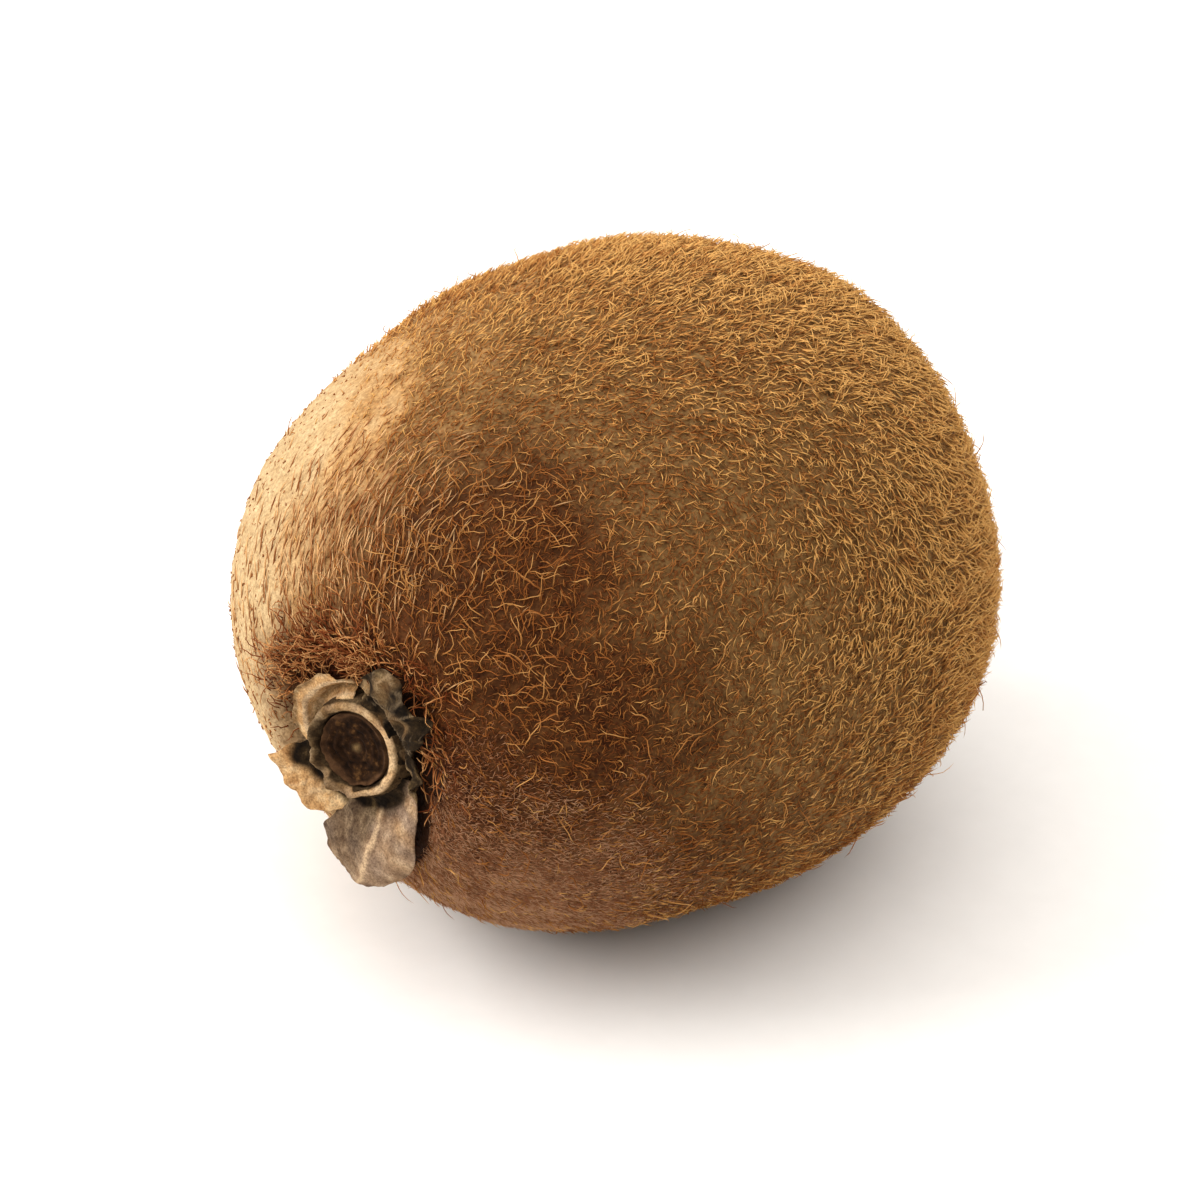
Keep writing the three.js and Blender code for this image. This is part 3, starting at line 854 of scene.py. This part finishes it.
def strand_lines(roots, normals, combs, length, turns, lift, rest):
    """Centre lines and headings of hairs that turn off their combs and go from lift to rest."""
    across = np.cross(normals, combs)
    place = roots - normals * ROOT_DEPTH
    lines, headings = [place], []
    steps = turns.shape[1]
    for step, turn in enumerate(turns.T):
        rise = mix(lift, rest, (step + 0.5) / steps)
        flat = combs * np.cos(turn)[:, None] + across * np.sin(turn)[:, None]
        heading = flat * np.cos(rise)[:, None] + normals * np.sin(rise)[:, None]
        place = place + heading * (length / steps)[:, None]
        lines.append(place)
        headings.append(heading)
    return np.stack(lines, 1), np.stack(headings, 1)


def bent_turns(random, start, curl, kink, steps):
    """Headings in radians for each step of each hair, which bend one way and kink at random."""
    share = (np.arange(steps) + 0.5) / steps
    way = random.choice([-1, 1], len(start))
    kinks = kink * np.cumsum(random.normal(size=(len(start), steps)), axis=1)
    return start[:, None] + (curl * way)[:, None] * share + kinks


def above_floor(points):
    return np.maximum(points, [-np.inf, -np.inf, FLOOR_CLEARANCE])


def strand_points(lines, headings, normals, radius):
    """Rings of three points round the centre lines, then each line's tip, kept above the floor."""
    count, steps, _ = headings.shape
    lines = above_floor(lines)
    girth = radius[:, None] * (1 - HAIR_TAPER * np.arange(steps) / steps)
    rings = rings_round(lines[:, :-1], headings, normals[:, None], girth, np.radians([90, 210, 330]))
    return np.concatenate([above_floor(rings).reshape(count, -1, 3), lines[:, -1:]], 1)


def strand_triangles(count, steps):
    """Triangles of strands whose points are rings of three, one to a step, and a tip."""
    last = (steps - 1) * 3
    tip = steps * 3
    ends = [[last, tip, last + 1], [last + 1, tip, last + 2], [last + 2, tip, last], [0, 1, 2]]
    one = np.concatenate([grid_triangles(steps, 3, closed=True), ends])
    start = np.arange(count) * (tip + 1)
    return (one[None] + start[:, None, None]).reshape(-1, 3)


def strand_mesh(name, lines, headings, normals, radius, tone, material):
    """Three-sided tapered hairs, pointed at the tip and closed at the root."""
    count, steps, _ = headings.shape
    points = strand_points(lines, headings, normals, radius).reshape(-1, 3)
    along = np.tile(np.append(np.repeat(np.arange(steps) / steps, 3), 1.0), count)
    sides = np.tile(np.append(np.tile([-1.0, 0.0, 1.0], steps), 0.0), count)
    tones = np.repeat(tone, 3 * steps + 1)
    values = {"along": along, "tone": tones}
    piece = piece_of(name, points, strand_triangles(count, steps), values, material)
    across, onward = mix(MAP_MARGIN, 1 - MAP_MARGIN, np.stack([tones, along]))
    add_map(piece, across + MAP_HAIR_WIDTH * sides, onward)


def tone_change(about, dimmed):
    """How much lighter hairs are than their kind: by tuft, by patch, where the skin is dark, and with
    painted light on the +X side.
    """
    change = 0.12 * ripple(about, 4.5, 33) + 0.1 * ripple(about, 1.4, 34) - dimmed * region("dark", about)
    for along, around, spread, step in TONE_PATCHES:
        change = change + step * nearness(about, along, around, spread)
    return change


def drawn(pairs, gold, random):
    """A number for each hair from a pair, or between two pairs as it turns golden."""
    pairs = np.array(pairs, float)
    low = mix(pairs[0, 0], pairs[-1, 0], gold)
    high = mix(pairs[0, 1], pairs[-1, 1], gold)
    return mix(low, high, random.uniform(0, 1, len(gold)))


def grown(kind, about, roots, normals, combs, random):
    """Centre lines, headings, normals, radii and tones of hairs of one kind."""
    gold = region("golden", about)
    rubbed = smooth_step(region("bald", about), 0.05, 0.5)
    sweep, tuft, loose = kind["stray"]
    stray = sweep * ripple(about, 24, 31) + tuft * ripple(about, 2.4, 32)
    start = np.radians(kind["comb"] + swept(about) + (stray + loose * random.normal(size=len(about))))
    curl = np.radians(drawn(kind["curl"], gold, random))
    turns = bent_turns(random, start, curl, math.radians(kind["kink"]), kind["steps"])
    lift = np.radians(drawn(kind["lift"], gold, random))
    rest = np.radians(drawn(kind.get("rest", kind["lift"]), gold, random))
    length = drawn(kind["length"], gold, random) * (1 - RUBBED_SHORTER * rubbed * (kind["rubbed"] > 0))
    lines, headings = strand_lines(roots, normals, combs, length, turns, lift, rest)
    radius = drawn(kind["radius"], gold, random)
    tone = drawn(kind["tone"], gold, random) + tone_change(about, kind["dimmed"]) - rubbed * kind["rubbed"]
    return lines, headings, normals, radius, np.clip(tone, 0, 1)


def hairs(name, kind, material):
    """Hairs of one kind over the skin, in as many pieces as MOST_TRIANGLES asks for."""
    along, around, random = scatter(kind["count"], kind["density"], kind["seed"])
    places, normals, combs = skin_frames(along, around)
    about = places - MIDDLE
    roots = places + normals * skin_relief(about)[:, None]
    strands = grown(kind, about, roots, normals, combs, random)
    order = random.permutation(np.flatnonzero(roots[:, 2] > ROOT_CLEARANCE))
    triangles = len(roots) * len(strand_triangles(1, kind["steps"]))
    for index, part in enumerate(np.array_split(order, math.ceil(triangles / MOST_TRIANGLES))):
        strand_mesh(f"{name}_{index + 1}", *(numbers[part] for numbers in strands), material)


def coat(bare_at=0.5, **shares):
    """A density that's next to 0 from this baldness on, with shares outside and inside of regions."""

    def density(points):
        kept = 1 - 0.985 * smooth_step(region("bald", points), 0.02, bare_at)
        kept = kept * mix(0.85, 1.15, smooth_step(ripple(points, 2.6, 35), -1, 1))
        kept = kept * off_calyx(points, 6, 9)
        for name, (outside, inside) in shares.items():
            kept = kept * mix(outside, inside, region(name, points))
        return kept

    return density


def curly_density(points):
    """Long hairs wherever the coat is wild, but none low down."""
    all_over = coat(wild=(0.16, 1.4), golden=(1, 0.3), rosy=(1, 0.4))
    return all_over(points) * smooth_step(points[..., 2], -20, -8)


def base_density(points):
    return region("bald", points) * off_calyx(points, 7, 10)


def streak_density(points):
    low = nearness(points, 35, 104, 14) + 0.15 * nearness(points, 26, 160, 13)
    return low * off_calyx(points, 7, 9)


def beard_density(points):
    radius, above = from_calyx(points)
    reach = mix(9.5, 12.0, above)
    ring = (1 - smooth_step(radius, reach - 5, reach)) * (1 - under_sepals(points))
    return ring * mix(0.25, 1.0, above)


# The colours of hairs at the root, in the middle and at the tip, and the warm colour of dull hairs.
HAIR_COLOURS = {
    "hair_short": [(0.18, 0.077, 0.022), (0.35, 0.16, 0.048), (0.51, 0.257, 0.087), (0.34, 0.108, 0.027)],
    "hair_golden": [(0.5, 0.248, 0.07), (0.68, 0.368, 0.108), (0.73, 0.43, 0.152), (0.58, 0.23, 0.056)],
    "hair_wild": [(0.28, 0.114, 0.029), (0.49, 0.228, 0.064), (0.67, 0.36, 0.122), (0.46, 0.16, 0.036)],
    "hair_rosy": [(0.28, 0.13, 0.066), (0.52, 0.275, 0.145), (0.7, 0.44, 0.26), (0.44, 0.18, 0.08)],
    "hair_base": [(0.29, 0.11, 0.036), (0.57, 0.31, 0.127), (0.78, 0.52, 0.26), (0.36, 0.12, 0.034)],
    "hair_russet": [(0.08, 0.022, 0.008), (0.4, 0.145, 0.042), (0.66, 0.36, 0.14), (0.26, 0.062, 0.016)],
}
# The pairs are the least and most of a kind, and a second pair is for the golden side, in
# millimetres and degrees. comb turns the hairs off the way to the blossom end, stray is how far they
# differ by region, by tuft and singly, curl turns them from root to tip and kink at each step. lift
# is their angle to the skin at the root and rest at the tip, the same where no rest is given. tone
# runs from 0, dull and warm, to 1, bright, and is cut off at both. rubbed is how much it falls at the
# shoulder's edge, where kinds with a rubbed above 0 get shorter too, and dimmed where the skin is dark.
PLAIN_HAIR = dict(steps=1, comb=0, curl=[(0, 0)], kink=0, rubbed=0, dimmed=0)
HAIRS = {
    "fuzz_short": dict(
        PLAIN_HAIR, material="hair_short", count=82000, seed=41,
        density=coat(wild=(1, 0.6), rosy=(1, 0.1)),
        length=[(0.4, 0.85), (0.5, 1.0)], radius=[(0.04, 0.06)], stray=(6, 30, 48),
        lift=[(8, 34), (15, 45)], tone=[(0, 0.8), (0.35, 1)], rubbed=0.04, dimmed=0.38,
    ),
    "fuzz_combed": dict(
        PLAIN_HAIR, material="hair_golden", count=33000, seed=42, steps=2,
        density=coat(0.85, wild=(1, 0.25), golden=(0.38, 1), rosy=(1, 0.4), dark=(1, 0.65)),
        length=[(0.7, 1.3), (0.95, 1.85)], radius=[(0.045, 0.06), (0.05, 0.07)], stray=(6, 34, 42),
        curl=[(0, 70), (0, 100)], kink=20, lift=[(18, 45), (24, 52)], rest=[(-5, 18), (0, 34)],
        tone=[(0, 0.75), (0.32, 0.95)], rubbed=0.04, dimmed=0.35,
    ),
    "fuzz_curly": dict(
        PLAIN_HAIR, material="hair_wild", count=1350, density=curly_density, seed=43, steps=5,
        length=[(1.2, 3.2)], radius=[(0.04, 0.062)], stray=(6, 20, 50), curl=[(0, 90)], kink=28,
        lift=[(25, 60)], rest=[(-12, 15)], tone=[(-0.15, 0.95)], rubbed=0.15, dimmed=0.05,
    ),
    "fuzz_rosy": dict(
        PLAIN_HAIR, material="hair_rosy", count=18000, density=coat(rosy=(0, 1)), seed=47, dimmed=0.15,
        length=[(0.4, 0.85)], radius=[(0.04, 0.06)], stray=(6, 18, 36), lift=[(8, 28)], tone=[(0, 0.95)],
    ),
    "hair_bases": dict(
        PLAIN_HAIR, material="hair_base", count=950, density=base_density, seed=44, comb=180,
        length=[(0.2, 0.36)], radius=[(0.09, 0.15)], stray=(0, 20, 40), lift=[(10, 34)], tone=[(0, 0.4)],
    ),
    "hair_streaks": dict(
        PLAIN_HAIR, material="hair_base", count=820, density=streak_density, seed=45, steps=2,
        length=[(1.0, 2.4)], radius=[(0.055, 0.09)], stray=(0, 10, 10), curl=[(0, 25)], kink=6,
        lift=[(7, 20)], rest=[(-4, 6)], tone=[(0.1, 1)], dimmed=0.1,
    ),
    "calyx_beard": dict(
        PLAIN_HAIR, material="hair_russet", count=800, density=beard_density, seed=46, steps=5,
        length=[(1.2, 2.6)], radius=[(0.05, 0.07)], stray=(0, 34, 55), curl=[(0, 140)], kink=26,
        lift=[(30, 75)], rest=[(-10, 25)], tone=[(0, 0.9)],
    ),
}
MOST_TRIANGLES = 180_000  # of one piece of hairs
ROOT_CLEARANCE = 0.15  # hairs whose roots are nearer to the floor than this are left out
ROOT_DEPTH = 0.04  # how far the roots lie under the skin
HAIR_TAPER = 0.45  # how much thinner a hair or a style gets towards its tip
MAP_MARGIN = 0.01  # left free at the edges of a bake map
MAP_HAIR_WIDTH = 0.002
RUBBED_SHORTER = 0.3  # by how much hairs shorten where the shoulder begins
# Where all hairs are lighter or darker: degrees from the stem end, degrees round the axis, how far
# this reaches in degrees, and the change of tone.
# The first and the fourth patches are painted light: they lighten the hairs on the +X side to stand for
# the glow of the fuzz along that edge.
TONE_PATCHES = [
    (118, 50, 26, 0.28), (76, 113, 15, 0.25), (88, 72, 13, -0.16),
    (84, 14, 20, 0.2), (36, 48, 14, -0.22),
]


def fuzz():
    materials = {name: hair_material(name, *colours) for name, colours in HAIR_COLOURS.items()}
    for name, kind in HAIRS.items():
        hairs(name, kind, materials[kind["material"]])


# ---- The stage ----

CAMERA_AZIMUTH = 42
CAMERA_ELEVATION = 34
CAMERA_DISTANCE = 480
CAMERA_SHIFT_RIGHT = -1.8  # how far the camera stands off the line to the body's middle
CAMERA_SHIFT_UP = -1.875
FOCAL_PIXELS = 6144
IMAGE_PIXELS = 1200
SENSOR_WIDTH = 36
FLOOR_HALF = 4.0  # metres from the floor's middle to its edges
LIGHTS = {
    "top_light": dict(azimuth=42, elevation=88, distance=1.5, size=4.3, watts=111),
    "left_light": dict(azimuth=-48, elevation=35, distance=1.6, size=0.96, watts=22),
}
LIGHT_COLOUR = (1.0, 0.98, 0.95)
STUDIO_COLOUR = (1.0, 0.84, 0.7)
STUDIO_STRENGTH = 0.15


def direction(azimuth, elevation):
    """Where these degrees point: round from the stem end, and up from the floor."""
    a, e = math.radians(azimuth), math.radians(elevation)
    return Vector((math.sin(a) * math.cos(e), -math.cos(a) * math.cos(e), math.sin(e)))


def camera():
    back = direction(CAMERA_AZIMUTH, CAMERA_ELEVATION)
    right = direction(CAMERA_AZIMUTH + 90, 0)
    up = back.cross(right)
    aim = Vector(MIDDLE) + right * CAMERA_SHIFT_RIGHT + up * CAMERA_SHIFT_UP
    data = bpy.data.cameras.new("camera")
    data.sensor_width = SENSOR_WIDTH
    data.lens = FOCAL_PIXELS / IMAGE_PIXELS * SENSOR_WIDTH
    data.clip_end = 10
    made = placed("camera", data)
    axes = Matrix((right, up, back)).transposed().to_4x4()
    made.matrix_world = Matrix.Translation((aim + back * CAMERA_DISTANCE) * MM) @ axes
    bpy.context.scene.camera = made


def floor():
    signs = [(-1, -1), (1, -1), (1, 1), (-1, 1)]
    mesh = bpy.data.meshes.new("floor")
    mesh.from_pydata([(FLOOR_HALF * x, FLOOR_HALF * y, 0) for x, y in signs], [], [(0, 1, 2, 3)])
    mesh.materials.append(floor_material())
    placed("floor", mesh)


def soft_light(name, azimuth, elevation, distance, size, watts):
    """A square light that faces the fruit, in metres and degrees."""
    towards = direction(azimuth, elevation)
    data = bpy.data.lights.new(name, "AREA")
    data.size = size
    data.energy = watts
    data.color = LIGHT_COLOUR
    made = placed(name, data)
    made.location = Vector(MIDDLE) * MM + towards * distance
    made.rotation_euler = towards.to_track_quat("Z", "Y").to_euler()


def lights():
    for name, place in LIGHTS.items():
        soft_light(name, **place)
    world = bpy.data.worlds.new("studio")
    world.use_nodes = True
    background = world.node_tree.nodes["Background"]
    background.inputs["Color"].default_value = (*STUDIO_COLOUR, 1)
    background.inputs["Strength"].default_value = STUDIO_STRENGTH
    bpy.context.scene.world = world
    bpy.context.scene.view_settings.view_transform = "Standard"


# ---- The whole ----

camera()
fruit_skin()
calyx()
stalk_scar()
style_brush()
fuzz()
floor()
lights()
bpy.context.view_layer.update()


def corners(box):
    return [list(map(float, corner)) for corner in box]
